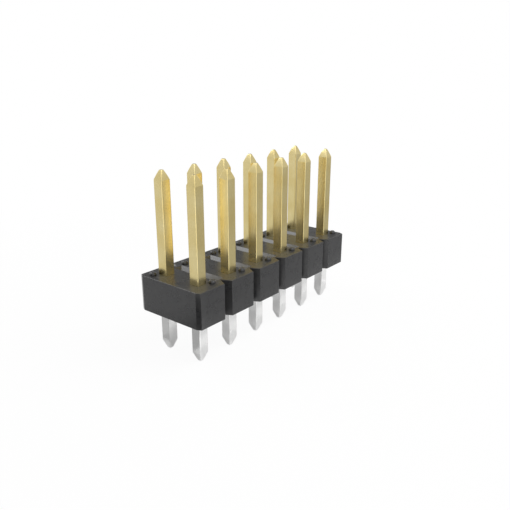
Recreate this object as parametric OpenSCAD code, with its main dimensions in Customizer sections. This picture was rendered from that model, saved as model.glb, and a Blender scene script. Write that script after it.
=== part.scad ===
// Straight two-row pin header strip.
// Origin: centre of the insulator's underside, which is the face that sits on a board.
// X runs along the strip, Y across the two rows, and +Z points towards the mating ends of the pins.

/* [Grid] */
// Number of positions along the strip, with one pin in each row
positions = 6; // [2:1:20]
// Distance from one position to the next
pitch = 2.54; // [2.4:0.01:3]
// Distance between the two rows of pins
row_pitch = 2.54; // [2.4:0.01:3]

/* [Insulator] */
// Width across the two rows
body_w = 4.82; // [4.6:0.01:6]
// Height from the seating face to the top face
body_h = 2.16; // [1.8:0.01:4]
// Length of insulator beyond the axis of each end pin
end_reach = 1.09; // [0.95:0.01:1.19]

/* [Break notches] */
// Mouth of the V notch in each long side, midway between positions
notch_w = 0.65; // [0.3:0.01:0.9]
// Depth of the V notch
notch_depth = 0.61; // [0.3:0.01:0.7]

/* [Top grooves] */
// Width of the groove across the top face, midway between positions
groove_w = 0.66; // [0.4:0.02:0.9]
// Depth of the groove
groove_depth = 0.3; // [0.1:0.01:0.6]
// Length over which each end of the groove slopes down to its bottom
groove_run_in = 0.3; // [0.1:0.01:0.6]
// Plastic left between the end of the groove and the point of the notch
groove_web = 0.1; // [0.02:0.01:0.3]

/* [Top nubs] */
// Diameter of the small round nub beside each pin
nub_d = 0.43; // [0.3:0.01:0.46]
// Height of the nub above the top face
nub_h = 0.19; // [0.1:0.01:0.5]
// Distance of the nub from the pin's axis along the strip
nub_along = 0.62; // [0.6:0.01:0.68]
// Distance of the nub from the pin's axis across the strip, towards the long side
nub_across = 0.49; // [0.3:0.01:0.6]

/* [Pins] */
// Width of the square wire
pin_w = 0.65; // [0.5:0.01:0.7]
// Bevel on the wire's four long edges
pin_bevel = 0.03; // [0.01:0.01:0.1]
// Length of pin above the top face
post_h = 6.08; // [3:0.01:12]
// Length of pin below the seating face
tail_h = 2.58; // [1.5:0.01:6]
// Length of the tapered point at each end of a pin
tip_l = 0.54; // [0.3:0.01:1]
// Width of the blunt end of each point
tip_w = 0.24; // [0.1:0.01:0.3]

/* [Retention] */
// How far the pressed barb stands out of two sides of a pin
barb_out = 0.06; // [0.03:0.01:0.12]
// Length of the barb's ramp
barb_l = 0.45; // [0.2:0.01:0.6]
// Distance from the top face down to the start of the ramp
barb_drop = 0.7; // [0.4:0.01:1]
// Gap between a pin and its hole on each plain side
hole_clearance = 0.01; // [0.005:0.005:0.03]

/* [Hidden] */
// Over-length that lets a cutter pass cleanly through a face
past = 1;
nub_facets = 48;
body_l = (positions - 1) * pitch + 2 * end_reach;
pin_low_z = -tail_h;
pin_high_z = body_h + post_h;
barb_high_z = body_h - barb_drop;
barb_low_z = barb_high_z - barb_l;
groove_half_l = body_w / 2 - notch_depth - groove_web;
// Each row: its name and the side of the strip that it stands on
ROWS = [["front", -1], ["back", 1]];

function pin_name(row, i) = str("pin_", row[0], "_", i);
function pin_x(i) = (i - (positions + 1) / 2) * pitch;
function pin_y(row) = row[1] * row_pitch / 2;
// Plane midway between position i and the next one; 0 and positions give the strip's two ends
function break_x(i) = pin_x(i) + pitch / 2;

// Square with its corners cut at 45 degrees
module bevelled_square(w, bevel) {
    half = w / 2;
    flat = half - bevel;
    polygon([
        [flat, -half], [half, -flat], [half, flat], [flat, half],
        [-flat, half], [-half, flat], [-half, -flat], [-flat, -half]
    ]);
}

// Outline of a pin seen from the side: a straight wire with a point at each end
module pointed_outline() {
    polygon([
        [-tip_w / 2, pin_low_z], [tip_w / 2, pin_low_z],
        [pin_w / 2, pin_low_z + tip_l], [pin_w / 2, pin_high_z - tip_l],
        [tip_w / 2, pin_high_z], [-tip_w / 2, pin_high_z],
        [-pin_w / 2, pin_high_z - tip_l], [-pin_w / 2, pin_low_z + tip_l]
    ]);
}

// Turns an outline drawn in X and Y into a plate that stands in X and Z, centred on Y
module upright(thickness) {
    rotate([90, 0, 0]) linear_extrude(height = thickness, center = true) children();
}

// The two ramps pressed out of a pin, narrow at the top and ending in a shoulder below.
// One plate right through the wire makes both, so that each joins it on a full face.
module barbs() {
    upright(pin_w - 2 * pin_bevel) polygon([
        [-pin_w / 2 - barb_out, barb_low_z], [pin_w / 2 + barb_out, barb_low_z],
        [pin_w / 2, barb_high_z], [-pin_w / 2, barb_high_z]
    ]);
}

// One pin, standing on its own axis
module pin_body() {
    intersection() {
        translate([0, 0, pin_low_z]) linear_extrude(height = pin_high_z - pin_low_z)
            bevelled_square(pin_w, pin_bevel);
        upright(2 * pin_w) pointed_outline();
        rotate([0, 0, 90]) upright(2 * pin_w) pointed_outline();
    }
    barbs();
}

// The space that one pin and its barbs take up in the insulator
module pin_hole() {
    hole_w = pin_w + 2 * hole_clearance;
    translate([0, 0, -past]) linear_extrude(height = body_h + 2 * past)
        bevelled_square(hole_w, pin_bevel);
    barbs();
}

// Full-height V cut into the side of the strip that side points to
module break_notch(side) {
    y_face = side * (body_w / 2);
    y_point = side * (body_w / 2 - notch_depth);
    y_past = side * (body_w / 2 + past);
    translate([0, 0, -past]) linear_extrude(height = body_h + 2 * past) polygon([
        [0, y_point], [notch_w / 2, y_face], [notch_w / 2, y_past],
        [-notch_w / 2, y_past], [-notch_w / 2, y_face]
    ]);
}

// V groove across the top face, with ends that slope down to its bottom
module top_groove() {
    intersection() {
        upright(body_w) polygon([
            [0, body_h - groove_depth], [groove_w / 2, body_h],
            [groove_w / 2, body_h + past], [-groove_w / 2, body_h + past], [-groove_w / 2, body_h]
        ]);
        rotate([0, 0, 90]) upright(2 * groove_w) polygon([
            [groove_run_in - groove_half_l, body_h - groove_depth],
            [groove_half_l - groove_run_in, body_h - groove_depth],
            [groove_half_l, body_h], [groove_half_l, body_h + past],
            [-groove_half_l, body_h + past], [-groove_half_l, body_h]
        ]);
    }
}

// Small round nub that stands on the top face beside a pin, on the outer side of its row
module nub(side) {
    translate([-side * nub_along, side * nub_across, body_h])
        cylinder(d = nub_d, h = nub_h, $fn = nub_facets);
}

module insulator() {
    color([0.16, 0.16, 0.17]) {
        difference() {
            translate([-body_l / 2, -body_w / 2, 0]) cube([body_l, body_w, body_h]);
            for (i = [0:positions]) for (row = ROWS) translate([break_x(i), 0, 0]) break_notch(row[1]);
            for (i = [1:positions - 1]) translate([break_x(i), 0, 0]) top_groove();
            for (i = [1:positions]) for (row = ROWS) translate([pin_x(i), pin_y(row), 0]) pin_hole();
        }
        for (i = [1:positions]) for (row = ROWS) translate([pin_x(i), pin_y(row), 0]) nub(row[1]);
    }
}

module pin(row, i) {
    color([0.85, 0.7, 0.4]) translate([pin_x(i), pin_y(row), 0]) pin_body();
}

insulator();
for (row = ROWS) for (i = [1:positions]) {
    pin(row, i);
}
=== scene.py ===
"""Looks of the straight two-row pin header strip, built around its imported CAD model.

The insulator and the two rows of pins are rebuilt at the CAD model's own sizes, with the small moulded
radii, shaped points and surface textures that the plain solids lack. Shapes are worked out in millimetres
and handed over in metres.
"""

import logging
import math
from dataclasses import dataclass, field
from enum import Enum
from typing import Any

import bmesh
import bpy
from mathutils import Matrix, Vector


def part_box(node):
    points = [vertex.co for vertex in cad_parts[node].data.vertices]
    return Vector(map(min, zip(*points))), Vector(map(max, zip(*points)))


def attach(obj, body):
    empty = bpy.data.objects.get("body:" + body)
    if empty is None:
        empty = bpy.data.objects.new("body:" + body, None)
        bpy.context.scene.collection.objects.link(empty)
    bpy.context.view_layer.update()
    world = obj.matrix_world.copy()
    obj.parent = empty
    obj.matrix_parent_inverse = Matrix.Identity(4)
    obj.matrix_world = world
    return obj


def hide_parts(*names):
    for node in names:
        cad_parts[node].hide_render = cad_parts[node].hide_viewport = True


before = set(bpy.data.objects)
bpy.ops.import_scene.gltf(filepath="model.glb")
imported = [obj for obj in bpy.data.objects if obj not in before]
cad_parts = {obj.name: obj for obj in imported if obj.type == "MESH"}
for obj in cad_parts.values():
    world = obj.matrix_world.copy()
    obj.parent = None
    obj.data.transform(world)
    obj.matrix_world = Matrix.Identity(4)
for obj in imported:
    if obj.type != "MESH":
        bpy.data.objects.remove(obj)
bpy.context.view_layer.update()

LOG = logging.getLogger("pin_header_strip")
MM = 0.001
PER_MM = 1.0 / MM
WELD_MM = 1e-4
SHARP_DEGREES = 32.0
WHITE = (1.0, 1.0, 1.0)
BODY = "root"


class Row(Enum):
    """The two rows of pins, by the side of the strip that each stands on."""

    FRONT = -1
    BACK = 1

    @property
    def label(self) -> str:
        """The row's name, as the CAD nodes spell it."""
        return self.name.lower()


class Wire:
    """A node's output that takes Python arithmetic, each operator adding one Math node."""

    def __init__(self, graph: "NodeGraph", socket: bpy.types.NodeSocket) -> None:
        """Wraps a socket.

        Args:
            graph: The graph that the socket's node belongs to.
            socket: The output socket.
        """
        self.graph = graph
        self.socket = socket

    def _math(self, operation: str, *values: Any, clamp: bool = False) -> "Wire":
        """Adds one Math node.

        Args:
            operation: Blender's name for the operation.
            values: Its operands, in order.
            clamp: Whether the result is kept between 0 and 1.

        Returns:
            The node's result.
        """
        settings = {"operation": operation, "use_clamp": clamp}
        return self.graph.node("ShaderNodeMath", settings, dict(enumerate(values)))["Value"]

    def __add__(self, other: Any) -> "Wire":
        """Sum."""
        return self._math("ADD", self, other)

    def __radd__(self, other: Any) -> "Wire":
        """Sum, reflected."""
        return self._math("ADD", other, self)

    def __sub__(self, other: Any) -> "Wire":
        """Difference."""
        return self._math("SUBTRACT", self, other)

    def __mul__(self, other: Any) -> "Wire":
        """Product."""
        return self._math("MULTIPLY", self, other)

    def clamped(self) -> "Wire":
        """The value kept between 0 and 1."""
        return self._math("ADD", self, 0.0, clamp=True)

    def rising(self, low: float, high: float) -> "Wire":
        """A straight ramp that is 0 at low, 1 at high and level outside them."""
        return self._math("DIVIDE", self - low, high - low, clamp=True)


class NodeGraph:
    """Builds a node tree, for shaders and geometry alike."""

    def __init__(self, tree: bpy.types.NodeTree) -> None:
        """Empties the tree and takes it over.

        Args:
            tree: The tree to fill.
        """
        tree.nodes.clear()
        self.tree = tree

    def node(self, kind: str, settings: dict[str, Any] | None = None,
             values: dict[Any, Any] | None = None) -> dict[str, Wire]:
        """Adds one node.

        Args:
            kind: Blender's type name of the node.
            settings: The node's own settings, made before its sockets are filled.
            values: What goes into its inputs, by name or place: a Wire is linked and anything else is set. A
                list is linked in order to a socket that takes several.

        Returns:
            The node's enabled outputs by name, each as a Wire.
        """
        made = self.tree.nodes.new(kind)
        for key, value in (settings or {}).items():
            setattr(made, key, value)
        for key, value in (values or {}).items():
            socket = self._input(made, key)
            for item in value if isinstance(value, list) else [value]:
                if isinstance(item, Wire):
                    self.tree.links.new(item.socket, socket)
                else:
                    socket.default_value = item
        return {s.name: Wire(self, s) for s in reversed(made.outputs) if s.enabled}

    @staticmethod
    def _input(made: bpy.types.Node, key: Any) -> bpy.types.NodeSocket:
        """Finds a node's enabled input by name, or any input by its place."""
        if isinstance(key, int):
            return made.inputs[key]
        return next(s for s in made.inputs if s.enabled and s.name == key)

    def mix_colour(self, share: Any, first: Any, second: Any) -> Wire:
        """Blends two colours, first at a share of 0 and second at 1."""
        values = {"Factor": share, "A": first, "B": second}
        return self.node("ShaderNodeMix", {"data_type": "RGBA"}, values)["Result"]

    def mix_value(self, share: Any, first: Any, second: Any) -> Wire:
        """Blends two values, first at a share of 0 and second at 1."""
        values = {"Factor": share, "A": first, "B": second}
        return self.node("ShaderNodeMix", {"data_type": "FLOAT"}, values)["Result"]


class ShaderGraph(NodeGraph):
    """A material's node tree, with its coordinates in millimetres."""

    def __init__(self, material: bpy.types.Material) -> None:
        """Takes over a material's tree.

        Args:
            material: The material to fill.
        """
        material.use_nodes = True
        super().__init__(material.node_tree)
        place = self.node("ShaderNodeTexCoord")["Object"]
        self.place = self.scaled(place, (PER_MM, PER_MM, PER_MM))

    def scaled(self, vector: Wire, factors: tuple[float, float, float]) -> Wire:
        """Stretches a vector by a factor for each axis."""
        return self.node("ShaderNodeVectorMath", {"operation": "MULTIPLY"}, {0: vector, 1: factors})["Vector"]

    def height(self) -> Wire:
        """The point's height above the seating face, in millimetres."""
        return self.node("ShaderNodeSeparateXYZ", None, {"Vector": self.place})["Z"]

    def noise(self, per_mm: float, detail: float = 2.0, stretch: tuple | None = None) -> Wire:
        """Smooth noise between 0 and 1.

        Args:
            per_mm: Its scale, in features to the millimetre.
            detail: How many finer layers are added.
            stretch: Factors that the coordinates are multiplied by first, if any.

        Returns:
            The noise value.
        """
        vector = self.scaled(self.place, stretch) if stretch else self.place
        values = {"Vector": vector, "Scale": per_mm, "Detail": detail}
        return self.node("ShaderNodeTexNoise", None, values)["Fac"]

    def bump(self, height: Wire, depth_mm: float, under: Wire | None = None) -> Wire:
        """A normal tilted by a height between 0 and 1.

        Args:
            height: The height field.
            depth_mm: What a height of 1 stands for, in millimetres.
            under: A normal that this one is laid over, if any.

        Returns:
            The normal.
        """
        values: dict[Any, Any] = {"Height": height, "Distance": depth_mm * MM}
        if under:
            values["Normal"] = under
        return self.node("ShaderNodeBump", None, values)["Normal"]

    def output(self, shader: Wire) -> None:
        """Joins a shader to the surface."""
        self.node("ShaderNodeOutputMaterial", None, {"Surface": shader})


def rgba(colour: tuple[float, float, float]) -> tuple[float, float, float, float]:
    """A colour with full alpha."""
    return (*colour, 1.0)


@dataclass(frozen=True)
class MouldedPlastic:
    """The insulator's black moulded plastic: satin, with a fine mould grain and faint flow marks."""

    name: str = "black_moulded_plastic"
    dark: tuple[float, float, float] = (0.026, 0.026, 0.027)
    light: tuple[float, float, float] = (0.035, 0.035, 0.036)
    roughness: float = 0.28
    roughness_spread: float = 0.08
    index: float = 1.62
    grain_per_mm: float = 22.0
    grain_mm: float = 0.0012
    grain_share: float = 0.4
    flow_per_mm: float = 0.9
    flow_mm: float = 0.004
    flow_stretch: tuple[float, float, float] = (1.0, 0.6, 1.6)
    cloud_per_mm: float = 2.16
    cloud_range: tuple[float, float] = (0.3, 0.7)

    def material(self) -> bpy.types.Material:
        """Builds the material.

        Returns:
            The finished material.
        """
        made = bpy.data.materials.new(self.name)
        graph = ShaderGraph(made)
        grain = graph.noise(self.grain_per_mm, detail=3.0)
        flow = graph.noise(self.flow_per_mm, detail=1.0, stretch=self.flow_stretch)
        clouds = graph.noise(self.cloud_per_mm, detail=3.0)
        colour = graph.mix_colour(clouds.rising(*self.cloud_range), rgba(self.dark), rgba(self.light))
        sheen = grain * self.grain_share + clouds * (1.0 - self.grain_share)
        roughness = self.roughness + (sheen - 0.5) * self.roughness_spread
        waves = graph.bump(flow, self.flow_mm)
        normal = graph.bump(grain, self.grain_mm, waves)
        shader = graph.node("ShaderNodeBsdfPrincipled", None, {
            "Base Color": colour, "Roughness": roughness, "IOR": self.index, "Normal": normal,
        })
        graph.output(shader["BSDF"])
        return made


@dataclass(frozen=True)
class Plating:
    """One plated metal: its colour, a slightly deeper shade that it drifts to, and its roughness."""

    colour: tuple[float, float, float]
    deep: tuple[float, float, float]
    roughness: float


@dataclass(frozen=True)
class PlatedWire:
    """The pins' drawn square wire: gold on the mating end, tin on the tail, with fine lines along it."""

    name: str = "plated_pin_wire"
    gold: Plating = Plating((0.92, 0.78, 0.4), (0.87, 0.71, 0.32), 0.22)
    tin: Plating = Plating((0.88, 0.88, 0.875), (0.83, 0.83, 0.825), 0.18)
    roughness_spread: float = 0.1
    line_per_mm: float = 26.0
    line_stretch: float = 0.03
    line_mm: float = 0.0006
    drift_per_mm: float = 0.8
    drift_range: tuple[float, float] = (0.35, 0.65)

    def material(self, change_low: float, change_high: float) -> bpy.types.Material:
        """Builds the material.

        Args:
            change_low: Height in millimetres up to which the wire is tin.
            change_high: Height in millimetres from which it is gold.

        Returns:
            The finished material.
        """
        made = bpy.data.materials.new(self.name)
        graph = ShaderGraph(made)
        lines = graph.noise(self.line_per_mm, stretch=(1.0, 1.0, self.line_stretch))
        drift = graph.noise(self.drift_per_mm).rising(*self.drift_range)
        is_gold = graph.height().rising(change_low, change_high)
        shades = [graph.mix_colour(drift, rgba(p.colour), rgba(p.deep)) for p in (self.tin, self.gold)]
        base = graph.mix_value(is_gold, self.tin.roughness, self.gold.roughness)
        roughness = base + (lines - 0.5) * self.roughness_spread
        shader = graph.node("ShaderNodeBsdfPrincipled", None, {
            "Base Color": graph.mix_colour(is_gold, *shades), "Roughness": roughness, "Metallic": 1.0,
            "Normal": graph.bump(lines, self.line_mm),
        })
        graph.output(shader["BSDF"])
        return made


@dataclass(frozen=True)
class StripGrid:
    """The strip's layout in millimetres, measured on the CAD nodes."""

    positions: int
    pitch: float
    row_pitch: float
    body_l: float
    body_w: float
    body_top: float
    pin_w: float
    pin_low: float
    pin_high: float
    barb_out: float

    @classmethod
    def measured(cls, nub_h: float) -> "StripGrid":
        """Reads the layout off the frame.

        Args:
            nub_h: Height of the nubs, by which the insulator's box stands above its top face.

        Returns:
            The layout.
        """
        positions = sum(name.startswith(pin_node(Row.FRONT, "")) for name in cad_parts)
        low, high = (corner * PER_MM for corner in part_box("insulator"))
        first, last = (pin_box(Row.FRONT, i) for i in (1, positions))
        across = pin_box(Row.BACK, 1)
        pin_w = first[1].y - first[0].y
        return cls(
            positions=positions,
            pitch=(last[0].x - first[0].x) / (positions - 1),
            row_pitch=across[0].y - first[0].y,
            body_l=high.x - low.x,
            body_w=high.y - low.y,
            body_top=high.z - nub_h,
            pin_w=pin_w,
            pin_low=first[0].z,
            pin_high=first[1].z,
            barb_out=(first[1].x - first[0].x - pin_w) / 2,
        )

    @property
    def first_x(self) -> float:
        """X of the first pin's axis."""
        return -(self.positions - 1) * self.pitch / 2

    def row_y(self, row: Row) -> float:
        """Y of a row's pin axes."""
        return row.value * self.row_pitch / 2


def pin_node(row: Row, number: Any) -> str:
    """The CAD node's name of one pin."""
    return f"pin_{row.label}_{number}"


def pin_box(row: Row, number: int) -> tuple[Vector, Vector]:
    """One pin's lowest and highest corner, in millimetres."""
    low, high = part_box(pin_node(row, number))
    return low * PER_MM, high * PER_MM


def rounded_square(half_x: float, half_y: float, radius: float, steps: int) -> list[Vector]:
    """Points round a rectangle with rounded corners, anticlockwise.

    Args:
        half_x: Half its width in X.
        half_y: Half its width in Y.
        radius: Radius of its corners.
        steps: Number of flats on each corner.

    Returns:
        The points, in the plane Z = 0.
    """
    points = []
    for corner in range(4):
        turn = corner * math.pi / 2
        side_x = 1 if corner in (0, 3) else -1
        side_y = 1 if corner < 2 else -1
        centre = Vector((side_x * (half_x - radius), side_y * (half_y - radius), 0.0))
        for step in range(steps + 1):
            angle = turn + step / steps * math.pi / 2
            points.append(centre + radius * Vector((math.cos(angle), math.sin(angle), 0.0)))
    return points


def loft(name: str, rings: list[list[Vector]]) -> bpy.types.Object:
    """Makes a closed solid from rings of equal count, the first and the last capped.

    Args:
        name: The object's name.
        rings: The rings from low to high, each anticlockwise seen from above.

    Returns:
        The object, linked to the scene.
    """
    mesh = bmesh.new()
    loops = [[mesh.verts.new(point) for point in ring] for ring in rings]
    for below, above in zip(loops, loops[1:]):
        for i in range(len(below)):
            j = (i + 1) % len(below)
            mesh.faces.new((below[i], below[j], above[j], above[i]))
    mesh.faces.new(list(reversed(loops[0])))
    mesh.faces.new(loops[-1])
    return finished(name, mesh)


def finished(name: str, mesh: bmesh.types.BMesh) -> bpy.types.Object:
    """Turns a bmesh into a linked object, with its faces pointing out."""
    bmesh.ops.recalc_face_normals(mesh, faces=mesh.faces)
    data = bpy.data.meshes.new(name)
    mesh.to_mesh(data)
    mesh.free()
    made = bpy.data.objects.new(name, data)
    bpy.context.scene.collection.objects.link(made)
    return made


def settle(piece: bpy.types.Object) -> None:
    """Replaces a piece's mesh with what its modifiers make of it, and removes them."""
    graph = bpy.context.evaluated_depsgraph_get()
    mesh = bpy.data.meshes.new_from_object(piece.evaluated_get(graph), depsgraph=graph)
    piece.modifiers.clear()
    piece.data = mesh


def shade(piece: bpy.types.Object) -> None:
    """Shades a piece smoothly across its small radii, and keeps its flat faces flat.

    Args:
        piece: The piece, a plain mesh in metres.
    """
    mesh = bmesh.new()
    mesh.from_mesh(piece.data)
    bmesh.ops.remove_doubles(mesh, verts=mesh.verts, dist=WELD_MM * MM)
    mesh.to_mesh(piece.data)
    mesh.free()
    piece.data.shade_smooth()
    piece.data.set_sharp_from_angle(angle=math.radians(SHARP_DEGREES))
    flat = piece.modifiers.new("flat_faces", "WEIGHTED_NORMAL")
    flat.keep_sharp = True
    settle(piece)


def discard(*helpers: bpy.types.Object) -> None:
    """Removes helper objects and their meshes."""
    for helper in helpers:
        mesh = helper.data
        bpy.data.objects.remove(helper)
        bpy.data.meshes.remove(mesh)


class PatternTree(NodeGraph):
    """A Geometry Nodes tree with named inputs, put on one piece and then made into a plain mesh."""

    def __init__(self, name: str, inputs: dict[str, Any]) -> None:
        """Starts the tree.

        Args:
            name: The tree's name.
            inputs: Each input's name and value: a whole number, a number, an object or a material.
        """
        tree = bpy.data.node_groups.new(name, "GeometryNodeTree")
        super().__init__(tree)
        kinds = {
            int: "NodeSocketInt", float: "NodeSocketFloat",
            bpy.types.Object: "NodeSocketObject", bpy.types.Material: "NodeSocketMaterial",
        }
        tree.interface.new_socket("Geometry", in_out="OUTPUT", socket_type="NodeSocketGeometry")
        self.values = {}
        for label, value in inputs.items():
            socket = tree.interface.new_socket(label, in_out="INPUT", socket_type=kinds[type(value)])
            self.values[socket.identifier] = value
        self.inputs = self.node("NodeGroupInput")

    def vector(self, x: Any, y: Any = 0.0) -> Wire:
        """A level vector from two values or wires."""
        return self.node("ShaderNodeCombineXYZ", None, {"X": x, "Y": y})["Vector"]

    def line(self, count: Any, start: Wire, step: Wire) -> Wire:
        """Points on a straight line."""
        values = {"Count": count, "Start Location": start, "Offset": step}
        return self.node("GeometryNodeMeshLine", {"mode": "OFFSET"}, values)["Mesh"]

    def shape(self, label: str) -> Wire:
        """The geometry of the object that an input names."""
        return self.node("GeometryNodeObjectInfo", None, {"Object": self.inputs[label]})["Geometry"]

    def copies(self, points: Wire, shape: Wire) -> Wire:
        """A real copy of a shape at each point."""
        spread = self.node("GeometryNodeInstanceOnPoints", None, {"Points": points, "Instance": shape})
        return self.node("GeometryNodeRealizeInstances", None, {"Geometry": spread["Instances"]})["Geometry"]

    def finish(self, shape: Wire) -> None:
        """Scales millimetres to metres, gives the shape its material and joins it to the output."""
        values = {"Geometry": shape, "Scale": (MM, MM, MM)}
        scaled = self.node("GeometryNodeTransform", None, values)["Geometry"]
        values = {"Geometry": scaled, "Material": self.inputs["Material"]}
        dressed = self.node("GeometryNodeSetMaterial", None, values)["Geometry"]
        self.node("NodeGroupOutput", None, {"Geometry": dressed})

    def mesh_piece(self, name: str) -> bpy.types.Object:
        """Runs the tree on an empty mesh.

        Args:
            name: The new piece's name.

        Returns:
            The piece, as a plain mesh.
        """
        piece = bpy.data.objects.new(name, bpy.data.meshes.new(name))
        bpy.context.scene.collection.objects.link(piece)
        modifier = piece.modifiers.new(self.tree.name, "NODES")
        modifier.node_group = self.tree
        for identifier, value in self.values.items():
            modifier[identifier] = value
        settle(piece)
        return piece


@dataclass(frozen=True)
class PinPoint:
    """The point at one end of a pin.

    It has the width of its blunt end and the length over which that is rounded off, both in millimetres. Its
    sides swell outwards by a share of its spread, over a number of rings.
    """

    end_w: float
    blunt_l: float
    swell: float
    rings: int


@dataclass
class SquarePin:
    """One pin: square wire with soft edges, a pyramid point at each end and a barb inside the insulator.

    Sizes are in millimetres.
    """

    grid: StripGrid
    edge_radius: float = 0.045
    edge_share: float = 0.45
    corner_steps: int = 4
    point_l: float = 0.54
    post_point: PinPoint = PinPoint(0.19, 0.004, 0.2, 6)
    tail_point: PinPoint = PinPoint(0.24, 0.04, 0.0, 1)
    blunt_steps: int = 5
    blunt_share: float = 0.8
    shoulder_l: float = 0.03
    shoulder_share: float = 0.2
    barb_drop: float = 0.7
    barb_l: float = 0.45
    barb_step_l: float = 0.02

    @property
    def barb_high(self) -> float:
        """Height at which the barb's ramp starts."""
        return self.grid.body_top - self.barb_drop

    @property
    def barb_low(self) -> float:
        """Height of the barb's shoulder."""
        return self.barb_high - self.barb_l

    def point_half(self, along: float, point: PinPoint) -> float:
        """Half width of the pin at a distance from its very end.

        Args:
            along: Distance from the end.
            point: The point at that end.

        Returns:
            The half width, which is full beyond the point.
        """
        end = point.end_w / 2
        share = min(along / self.point_l, 1.0)
        side = end + (self.grid.pin_w / 2 - end) * (share + point.swell * share * (1.0 - share))
        if along >= point.blunt_l:
            return side
        fall = 1.0 - along / point.blunt_l
        return side - self.blunt_share * point.blunt_l * (1.0 - math.sqrt(1.0 - fall ** 2))

    def point_stations(self, point: PinPoint) -> list[tuple[float, float]]:
        """Distances from an end at which the point has a ring, and the half widths there.

        Args:
            point: The point at that end.

        Returns:
            One pair for each ring, from the end inwards.
        """
        turns = [math.pi / 2 * i / self.blunt_steps for i in range(self.blunt_steps + 1)]
        blunt = [point.blunt_l * (1.0 - math.cos(turn)) for turn in turns]
        side_l = self.point_l - self.shoulder_l - point.blunt_l
        sides = [point.blunt_l + side_l * (i + 1) / point.rings for i in range(point.rings)]
        stations = [(d, self.point_half(d, point)) for d in (*blunt, *sides)]
        full = self.grid.pin_w / 2
        soft = (full + stations[-1][1]) / 2 + self.shoulder_share * self.shoulder_l
        return [*stations, (self.point_l, min(soft, full)), (self.point_l + self.shoulder_l, full)]

    def ring(self, height: float, half_x: float, half_y: float) -> list[Vector]:
        """One ring of the wire at a height."""
        radius = min(self.edge_radius, self.edge_share * min(half_x, half_y))
        lift = Vector((0.0, 0.0, height))
        return [point + lift for point in rounded_square(half_x, half_y, radius, self.corner_steps)]

    def build(self) -> bpy.types.Object:
        """Builds the pin on its own axis.

        Returns:
            The pin, in millimetres.
        """
        half = self.grid.pin_w / 2
        tail = self.point_stations(self.tail_point)
        post = reversed(self.point_stations(self.post_point))
        rings = [self.ring(self.grid.pin_low + d, h, h) for d, h in tail]
        rings.append(self.ring(self.barb_low - self.barb_step_l, half, half))
        rings.append(self.ring(self.barb_low, half + self.grid.barb_out, half))
        rings.append(self.ring(self.barb_high, half, half))
        rings += [self.ring(self.grid.pin_high - d, h, h) for d, h in post]
        return loft("pin_shape", rings)


@dataclass
class PinRow:
    """One row of pins, repeated along the strip by Geometry Nodes."""

    grid: StripGrid
    row: Row
    finish: bpy.types.Material

    def build(self) -> bpy.types.Object:
        """Builds the row and puts it in place of its CAD nodes.

        Returns:
            The row, as one plain mesh.
        """
        pin = SquarePin(self.grid).build()
        tree = PatternTree(f"{self.row.label}_pin_pattern", {
            "Pins": self.grid.positions, "Pitch": self.grid.pitch, "First X": self.grid.first_x,
            "Row Y": self.grid.row_y(self.row), "Pin": pin, "Material": self.finish,
        })
        start = tree.vector(tree.inputs["First X"], tree.inputs["Row Y"])
        points = tree.line(tree.inputs["Pins"], start, tree.vector(tree.inputs["Pitch"]))
        tree.finish(tree.copies(points, tree.shape("Pin")))
        piece = tree.mesh_piece(f"{self.row.label}_row_pins")
        discard(pin)
        shade(piece)
        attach(piece, BODY)
        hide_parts(*[pin_node(self.row, i + 1) for i in range(self.grid.positions)])
        return piece


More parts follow.
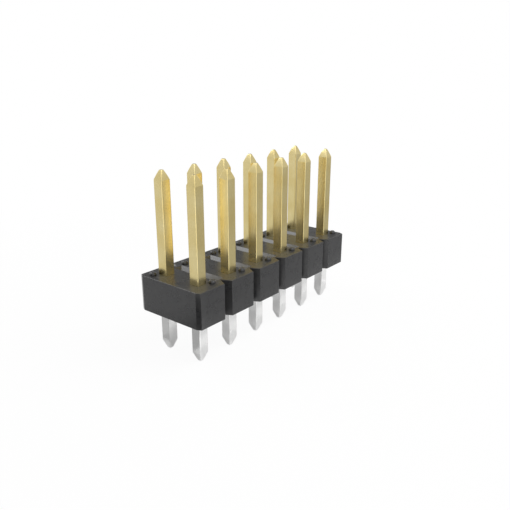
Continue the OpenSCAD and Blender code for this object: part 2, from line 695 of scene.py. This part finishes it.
@dataclass
class Insulator:
    """The moulded insulator: a bar with V notches, top grooves, square holes and round nubs.

    Sizes are in millimetres. The bar is lofted with soft edges from its outline, and one Geometry Nodes tree
    then cuts and adds what repeats along it.
    """

    grid: StripGrid
    finish: bpy.types.Material
    notch_w: float = 0.65
    notch_depth: float = 0.61
    groove_w: float = 0.66
    groove_depth: float = 0.3
    groove_floor: float = 0.03
    groove_run_in: float = 0.3
    groove_web: float = 0.1
    groove_rim: float = 0.06
    nub_d: float = 0.43
    nub_h: float = 0.19
    nub_along: float = 0.62
    nub_across: float = 0.49
    nub_radius: float = 0.17
    nub_steps: int = 8
    nub_facets: int = 40
    hole_gap: float = 0.01
    top_radius: float = 0.042
    foot_radius: float = 0.015
    corner_radius: float = 0.035
    end_radius: float = 0.01
    least_radius: float = 0.004
    steps: int = 3
    overrun: float = 2.0
    past: float = 0.5

    def half_outline(self) -> list[tuple[Vector, float]]:
        """The bar's outline along the front side, end to end.

        Returns:
            The corners from left to right, each with its radius, which is 0 at the notches' sharp points.
        """
        grid = self.grid
        half = self.notch_w / 2
        side = -grid.body_w / 2
        first = grid.first_x - grid.pitch / 2
        end = grid.body_l / 2
        cut = side + self.notch_depth * (1.0 - (-end - first) / half)
        corners = [(Vector((-end, cut)), self.end_radius), (Vector((first + half, side)), self.corner_radius)]
        for i in range(1, grid.positions):
            x = first + i * grid.pitch
            corners.append((Vector((x - half, side)), self.corner_radius))
            corners.append((Vector((x, side + self.notch_depth)), 0.0))
            corners.append((Vector((x + half, side)), self.corner_radius))
        corners += [(Vector((-corner.x, corner.y)), radius) for corner, radius in reversed(corners[:2])]
        return corners

    def ring(self, inset: float, z: float) -> list[Vector]:
        """The bar's outline, moved inwards and with rounded outer corners.

        Args:
            inset: How far every side is moved inwards.
            z: The ring's height.

        Returns:
            The points, anticlockwise.
        """
        front = self.half_outline()
        corners = front + [(-corner, radius) for corner, radius in front]
        points = []
        for i, (corner, radius) in enumerate(corners):
            before = (corner - corners[i - 1][0]).normalized()
            after = (corners[(i + 1) % len(corners)][0] - corner).normalized()
            inward = [Vector((-d.y, d.x)) for d in (before, after)]
            bend = (inward[0] + inward[1]).normalized()
            reach = 1.0 / bend.dot(inward[0])
            if not radius:
                points.append(corner + bend * inset * reach)
                continue
            core = max(radius, inset + self.least_radius)
            centre = corner + bend * core * reach
            for step in range(self.steps + 1):
                points.append(centre - inward[0].slerp(inward[1], step / self.steps) * (core - inset))
        return [Vector((p.x, p.y, z)) for p in points]

    def bar(self) -> bpy.types.Object:
        """The plain bar with its notches and soft edges."""
        turns = [step / self.steps * math.pi / 2 for step in range(self.steps + 1)]
        rim = [(1.0 - math.sin(t), 1.0 - math.cos(t)) for t in turns]
        foot, top = self.foot_radius, self.top_radius
        rings = [self.ring(foot * inset, foot * rise) for rise, inset in reversed(rim)]
        rings += [self.ring(top * inset, self.grid.body_top - top * drop) for drop, inset in rim]
        return loft("bar", rings)

    def groove_cutter(self) -> bpy.types.Object:
        """The V trough with sloped ends and soft rims that is cut across the top face at one break line."""
        top = self.grid.body_top
        half_w = self.groove_w / 2
        half_l = self.grid.body_w / 2 - self.notch_depth - self.groove_web
        slope = math.atan2(self.groove_depth, half_w)
        tangent = self.groove_rim * math.tan(slope / 2)
        stations = [(self.groove_floor / 2, half_l - self.groove_run_in, top - self.groove_depth)]
        for step in range(self.steps + 1):
            angle = slope * (1.0 - step / self.steps)
            spread = tangent - self.groove_rim * math.sin(angle)
            rise = top - self.groove_rim * (1.0 - math.cos(angle))
            stations.append((half_w + spread, half_l + spread, rise))
        last, rim = stations[-2:]
        beyond = tuple((1.0 + self.overrun) * b - self.overrun * a for a, b in zip(last, rim))
        stations[-1:] = [beyond, (beyond[0], beyond[1], top + self.past)]
        signs = ((1, -1), (1, 1), (-1, 1), (-1, -1))
        return loft("groove_cutter", [[Vector((x * a, y * b, z)) for a, b in signs] for x, y, z in stations])

    def hole_cutter(self, pin: SquarePin) -> bpy.types.Object:
        """The space of one pin, with its barb's hollow."""
        half = self.grid.pin_w / 2 + self.hole_gap
        barb = self.grid.pin_w / 2 + self.grid.barb_out
        widths = [(-self.past, half), (pin.barb_low, half), (pin.barb_low, barb), (pin.barb_high, half),
                  (self.grid.body_top + self.past, half)]
        return loft("hole_cutter", [pin.ring(z, half_x, half) for z, half_x in widths])

    def nub_shape(self) -> bpy.types.Object:
        """One round nub with a soft rim, its foot sunk a little into the top face."""
        radius = self.nub_d / 2
        top = self.grid.body_top
        profile = [(radius, top - self.nub_radius)]
        for step in range(self.nub_steps + 1):
            angle = step / self.nub_steps * math.pi / 2
            reach = radius - self.nub_radius * (1.0 - math.cos(angle))
            profile.append((reach, top + self.nub_h - self.nub_radius * (1.0 - math.sin(angle))))
        turns = [math.tau * i / self.nub_facets for i in range(self.nub_facets)]
        rings = [[Vector((r * math.cos(t), r * math.sin(t), z)) for t in turns] for r, z in profile]
        return loft("nub_shape", rings)

    def build_tree(self, tree: PatternTree) -> None:
        """Cuts and adds what repeats.

        Args:
            tree: The tree to fill, with its inputs in place.
        """
        given = tree.inputs
        step = tree.vector(given["Pitch"])
        first = given["First X"]
        breaks = tree.line(given["Positions"] - 1.0, tree.vector(first + given["Pitch"] * 0.5), step)
        row = tree.line(given["Positions"], tree.vector(first, given["Row Y"]), step)
        beside = tree.vector(first + given["Nub Along"], given["Row Y"] - given["Nub Across"])
        holes = tree.copies(row, tree.shape("Hole"))
        nubs = tree.copies(tree.line(given["Positions"], beside, step), tree.shape("Nub"))
        cuts = [tree.copies(breaks, tree.shape("Groove")), holes, self.turned(tree, holes)]
        body = self.combined(tree, "DIFFERENCE", {"Mesh 1": tree.shape("Bar"), "Mesh 2": cuts})
        tree.finish(self.combined(tree, "UNION", {"Mesh": [body, nubs, self.turned(tree, nubs)]}))

    @staticmethod
    def combined(tree: PatternTree, operation: str, shapes: dict[str, Any]) -> Wire:
        """Shapes cut from one another or made one, by an exact Boolean."""
        settings = {"solver": "EXACT", "operation": operation}
        return tree.node("GeometryNodeMeshBoolean", settings, shapes)["Mesh"]

    @staticmethod
    def turned(tree: PatternTree, shape: Wire) -> Wire:
        """The same shapes turned half a turn about the strip's centre."""
        values = {"Geometry": shape, "Rotation": (0.0, 0.0, math.pi)}
        return tree.node("GeometryNodeTransform", None, values)["Geometry"]

    def build(self) -> bpy.types.Object:
        """Builds the insulator and puts it in place of its CAD node.

        Returns:
            The insulator, as one plain mesh.
        """
        helpers = {
            "Bar": self.bar(), "Groove": self.groove_cutter(),
            "Hole": self.hole_cutter(SquarePin(self.grid)), "Nub": self.nub_shape(),
        }
        tree = PatternTree("insulator_pattern", {
            "Positions": self.grid.positions, "Pitch": self.grid.pitch, "First X": self.grid.first_x,
            "Row Y": self.grid.row_y(Row.FRONT), "Nub Along": self.nub_along, "Nub Across": self.nub_across,
            **helpers, "Material": self.finish,
        })
        self.build_tree(tree)
        piece = tree.mesh_piece("moulded_insulator")
        discard(*helpers.values())
        shade(piece)
        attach(piece, BODY)
        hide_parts("insulator")
        return piece


def bearing(azimuth: float, elevation: float) -> Vector:
    """The direction towards a place round the object.

    Args:
        azimuth: Degrees; 0 is in front, on the -Y side, and 90 is on the +X side.
        elevation: Degrees above the horizon.

    Returns:
        A unit vector.
    """
    turn, rise = math.radians(azimuth), math.radians(elevation)
    return Vector((math.sin(turn) * math.cos(rise), -math.cos(turn) * math.cos(rise), math.sin(rise)))


@dataclass(frozen=True)
class SoftBox:
    """One soft lamp: where it hangs round the object, its size in millimetres and how bright it looks.

    Its bearings are in degrees. Mirroring faces show it only if it is mirrored.
    """

    name: str
    azimuth: float
    elevation: float
    distance: float
    width: float
    height: float
    radiance: float
    mirrored: bool = True

    def build(self, target: Vector) -> bpy.types.Object:
        """Hangs the lamp.

        Args:
            target: The point in metres that it faces.

        Returns:
            The lamp's object.
        """
        lamp = bpy.data.lights.new(self.name, "AREA")
        lamp.shape = "RECTANGLE"
        lamp.size = self.width * MM
        lamp.size_y = self.height * MM
        lamp.energy = self.radiance * math.pi * lamp.size * lamp.size_y
        made = bpy.data.objects.new(self.name, lamp)
        towards = bearing(self.azimuth, self.elevation)
        made.matrix_world = (
            Matrix.Translation(target + towards * self.distance * MM)
            @ towards.to_track_quat("Z", "Y").to_matrix().to_4x4()
        )
        made.visible_glossy = self.mirrored
        bpy.context.scene.collection.objects.link(made)
        return made


class Stand(Enum):
    """How a card is held: flat on the floor, or upright with its face to the object."""

    LYING = "lying"
    FACING = "facing"


@dataclass(frozen=True)
class Card:
    """One plain glowing card that only mirroring faces show, that casts no shadow and lights nothing: a
    painted reflection, light or dark.

    Sizes are in millimetres, and its level is how brightly it glows in mirrors. A lying card is turned about
    the vertical by a number of degrees.
    """

    name: str
    stand: Stand
    place: tuple[float, float, float]
    width: float
    height: float
    grey: float
    turn: float = 0.0

    def build(self, target: Vector) -> bpy.types.Object:
        """Sets the card up.

        Args:
            target: The point in metres that an upright card faces.

        Returns:
            The card's object.
        """
        mesh = bmesh.new()
        bmesh.ops.create_grid(mesh, x_segments=1, y_segments=1, size=0.5 * MM)
        bmesh.ops.scale(mesh, verts=mesh.verts, vec=(self.width, self.height, 1.0))
        place = Vector(self.place) * MM
        if self.stand is Stand.LYING:
            attitude = Matrix.Rotation(math.radians(self.turn), 4, "Z")
        else:
            attitude = (target - place).to_track_quat("Z", "Y").to_matrix().to_4x4()
        bmesh.ops.transform(mesh, matrix=Matrix.Translation(place) @ attitude, verts=mesh.verts)
        card = finished(self.name, mesh)
        material = bpy.data.materials.new(self.name)
        graph = ShaderGraph(material)
        # The painted reflection: an emission that only mirror rays see.
        graph.output(graph.node("ShaderNodeEmission", None, {"Strength": self.grey})["Emission"])
        card.data.materials.append(material)
        card.visible_camera = False
        card.visible_diffuse = False
        card.visible_shadow = False
        return card


@dataclass
class Studio:
    """The pale floor, the soft lamps, the mirror-only cards of painted reflection, the white surroundings and
    the camera.

    The floor's height and half width are in metres, and the other sizes are in millimetres.
    """

    floor_z: float
    floor_half: float = 0.4
    floor_colour: tuple[float, float, float] = (0.93, 0.93, 0.93)
    near_glow: float = 0.95
    mirror_glow: float = 0.3
    near_radius: float = 14.0
    far_radius: float = 40.0
    surround: float = 0.35
    aim_height: float = 2.0
    camera_place: tuple[float, float, float] = (-26.816, -21.914, 13.544)
    camera_azimuth: float = -50.994
    camera_elevation: float = 18.547
    focal_px: float = 559.2
    photo_px: float = 510.0
    sensor_mm: float = 36.0
    clip_range: tuple[float, float] = (1.0, 10000.0)
    lamps: list[SoftBox] = field(default_factory=lambda: [
        SoftBox("back_softbox", -160.0, 48.0, 120.0, 50.0, 60.0, 3.8),
        SoftBox("key_softbox", 35.0, 52.0, 100.0, 70.0, 60.0, 5.4, False),
    ])
    cards: list[Card] = field(default_factory=lambda: [
        # Each card is a painted reflection that only mirrors see, glowing at the level given after its size.
        Card("right_floor_card", Stand.LYING, (38.0, -33.1, -2.5), 82.0, 54.6, 0.44),
        # Painted shade: grey sheets on the floor left of the strip give mirrors the strip's shadow there,
        # darkest next to the tails.
        Card("left_floor_card", Stand.LYING, (-26.6, 34.1, -2.5), 55.0, 50.0, 0.67, -20.0),
        Card("left_near_card", Stand.LYING, (-9.3, 1.15, -2.48), 3.8, 2.9, 0.4),
        Card("left_tail_card", Stand.LYING, (-9.3, 4.4, -2.48), 3.8, 3.6, 0.5),
        Card("right_side_card", Stand.FACING, (44.6, -40.1, 22.5), 70.0, 50.0, 0.62),
        Card("left_side_card", Stand.FACING, (-44.6, 40.1, 22.5), 70.0, 50.0, 0.66),
        # Painted dark reflections: near-black sheets that only mirrors see, darkening the faces turned
        # towards them, such as the end chamfers.
        Card("dark_front_card", Stand.LYING, (-22.4, -6.1, -2.49), 26.0, 12.0, 0.02, 14.0),
        Card("dark_left_card", Stand.FACING, (-58.0, -1.0, 20.0), 34.0, 44.0, 0.02),
        # Painted highlight: a sheet glowing brighter than white, seen only in mirrors, for the bright lines
        # on the pins' front edges.
        Card("white_front_card", Stand.LYING, (-16.0, -22.0, -2.52), 50.0, 38.0, 1.3),
        # Painted reflection: a mid-grey sheet on the floor just in front of the tails, greyer than the floor
        # there.
        Card("front_near_card", Stand.LYING, (2.0, -5.0, -2.49), 13.4, 2.2, 0.74),
        # Painted light: a near-white sheet by the tails' feet that mirrors see in place of the strip's shade
        # on the floor.
        Card("front_foot_card", Stand.LYING, (1.5, -3.4, -2.49), 14.6, 1.0, 0.92),
        # Painted highlight: a small strip glowing far brighter than white, seen only in mirrors, for the
        # spots on the nubs.
        Card("front_strip_card", Stand.FACING, (9.6, -26.5, 53.0), 16.0, 24.0, 4.0),
        Card("right_back_card", Stand.LYING, (36.0, 24.0, -2.5), 54.0, 36.0, 0.15),
        Card("grey_back_card", Stand.FACING, (218.0, 176.0, 108.0), 220.0, 130.0, 0.2),
    ])

    def build(self) -> None:
        """Sets the stage, the lamps, the cards and the camera."""
        self.build_world()
        self.build_floor()
        centre = Vector((0.0, 0.0, self.aim_height * MM))
        for lamp in self.lamps:
            lamp.build(centre)
        for card in self.cards:
            card.build(centre)
        self.build_camera()
        bpy.context.scene.view_settings.view_transform = "Standard"

    @staticmethod
    def seen_rays(graph: NodeGraph) -> tuple[Wire, Wire]:
        """Whether a ray comes from the camera, and whether it comes from a mirror or through glass."""
        path = graph.node("ShaderNodeLightPath")
        return path["Is Camera Ray"], (path["Is Glossy Ray"] + path["Is Transmission Ray"]).clamped()

    def build_world(self) -> None:
        """White to the camera and in mirrors, and an even soft light for the rest."""
        world = bpy.data.worlds.new("white_surround")
        bpy.context.scene.world = world
        world.use_nodes = True
        graph = NodeGraph(world.node_tree)
        camera, mirror = self.seen_rays(graph)
        strength = graph.mix_value((camera + mirror).clamped(), self.surround, 1.0)
        sky = graph.node("ShaderNodeBackground", None, {"Color": rgba(WHITE), "Strength": strength})
        graph.node("ShaderNodeOutputWorld", None, {"Surface": sky["Background"]})

    def build_floor(self) -> None:
        """A wide pale floor that the tails stand on, fading to plain white away from the object."""
        mesh = bmesh.new()
        bmesh.ops.create_grid(mesh, x_segments=1, y_segments=1, size=self.floor_half)
        bmesh.ops.translate(mesh, verts=mesh.verts, vec=(0.0, 0.0, self.floor_z))
        floor = finished("floor", mesh)
        material = bpy.data.materials.new("pale_floor")
        graph = ShaderGraph(material)
        spread = graph.node("ShaderNodeVectorMath", {"operation": "LENGTH"}, {0: graph.place})["Value"]
        far = spread.rising(self.near_radius, self.far_radius)
        camera, mirror = self.seen_rays(graph)
        seen = camera * graph.mix_value(far, self.near_glow, 1.0)
        glow = seen + mirror * graph.mix_value(far, self.mirror_glow, 1.0)
        matt = graph.node("ShaderNodeBsdfDiffuse", None, {"Color": rgba(self.floor_colour)})["BSDF"]
        white = graph.node("ShaderNodeEmission", None, {"Color": rgba(WHITE), "Strength": 1.0})["Emission"]
        graph.output(graph.node("ShaderNodeMixShader", None, {0: glow, 1: matt, 2: white})["Shader"])
        floor.data.materials.append(material)

    def build_camera(self) -> None:
        """The camera at the photograph's place and angle."""
        data = bpy.data.cameras.new("camera")
        data.sensor_width = self.sensor_mm
        data.lens = self.focal_px / self.photo_px * self.sensor_mm
        data.clip_start, data.clip_end = (reach * MM for reach in self.clip_range)
        camera = bpy.data.objects.new("camera", data)
        back = bearing(self.camera_azimuth, self.camera_elevation)
        camera.rotation_mode = "QUATERNION"
        camera.rotation_quaternion = (-back).to_track_quat("-Z", "Y")
        camera.location = Vector(self.camera_place) * MM
        bpy.context.scene.collection.objects.link(camera)
        bpy.context.scene.camera = camera


def main() -> None:
    """Builds the stage and the pieces in order, and reports each piece."""
    logging.basicConfig(level=logging.INFO, format="%(name)s: %(message)s")
    grid = StripGrid.measured(Insulator.nub_h)
    Studio(grid.pin_low * MM).build()
    plastic = MouldedPlastic().material()
    change = SquarePin(grid)
    wire = PlatedWire().material(change.barb_low, change.barb_high)
    parts = [Insulator(grid, plastic), *[PinRow(grid, row, wire) for row in Row]]
    for part in parts:
        piece = part.build()
        LOG.info("%s: %d faces", piece.name, len(piece.data.polygons))


if __name__ == "__main__":
    main()
